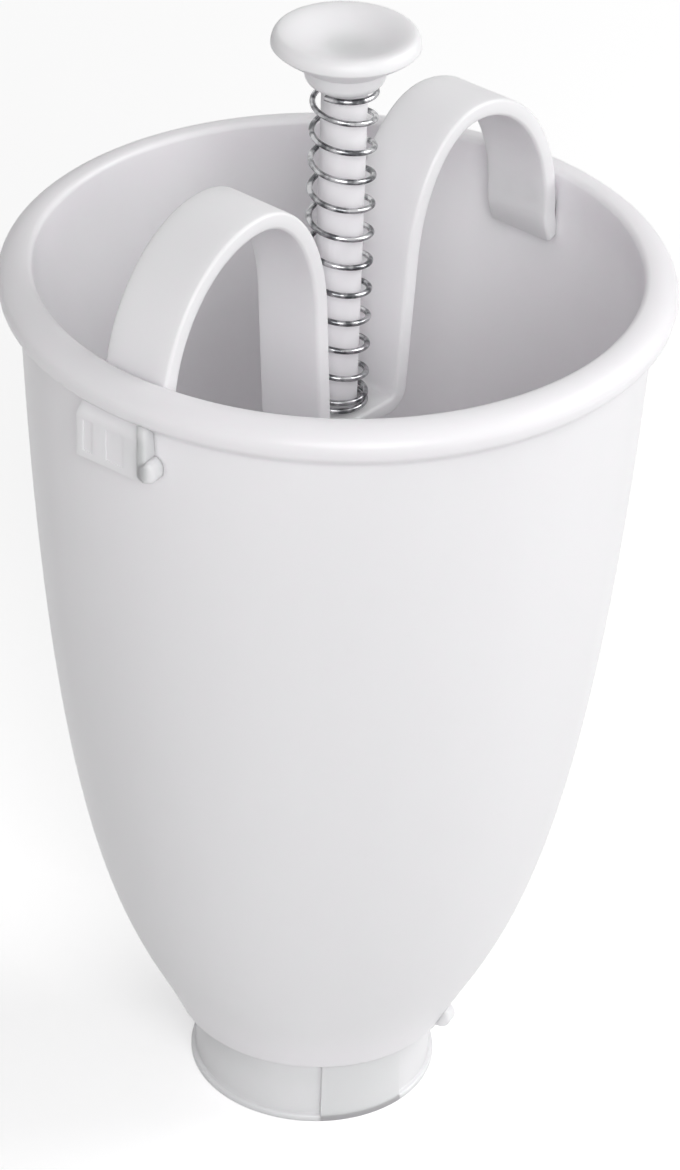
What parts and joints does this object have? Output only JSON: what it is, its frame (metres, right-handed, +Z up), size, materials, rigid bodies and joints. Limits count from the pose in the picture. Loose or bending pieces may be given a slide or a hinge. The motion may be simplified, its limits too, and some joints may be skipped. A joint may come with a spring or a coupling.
{
  "type": "donut dropper",
  "caption": "Hand-held batter dropper: a bell hopper on a twist-off outlet collar, with two finger arches and a sprung thumb plunger whose disc shapes each ring.",
  "frame": {"origin": "centre of the collar's underside, on the surface the dropper stands on", "axes": "+Z up along the plunger, X along the handle bridge through both finger arches, +Y across it"},
  "size_m": [0.115, 0.115, 0.2115],
  "materials": {
    "hopper_plastic": "semi-gloss moulded polypropylene, white",
    "handle_plastic": "semi-gloss moulded polypropylene, milky white",
    "rod_plastic": "satin moulded plastic, white",
    "spring_steel": "polished stainless spring wire",
    "fastener_steel": "plain stainless steel"
  },
  "bodies": {
    "hopper": {"hopper_cup": "hopper_plastic", "bridge_handle": "handle_plastic", "return_spring": "spring_steel"},
    "plunger": {"plunger_rod": "rod_plastic", "thumb_knob": "handle_plastic", "metering_piston": "rod_plastic", "piston_pin": "fastener_steel", "cutter_disc": "rod_plastic", "disc_screw": "fastener_steel"},
    "collar": {"outlet_collar": "hopper_plastic"}
  },
  "joints": [
    {"name": "plunger_press", "type": "slide", "parent": "hopper", "child": "plunger", "axis": [0, 0, -1], "range_m": [0, 0.018], "stiffness_N_per_m": 250, "springref_m": -0.012, "deforming": ["return_spring"]},
    {"name": "collar_twist", "type": "hinge", "parent": "hopper", "child": "collar", "pos_m": [0, 0, 0.007], "axis": [0, 0, 1], "range_deg": [0, 28]}
  ]
}
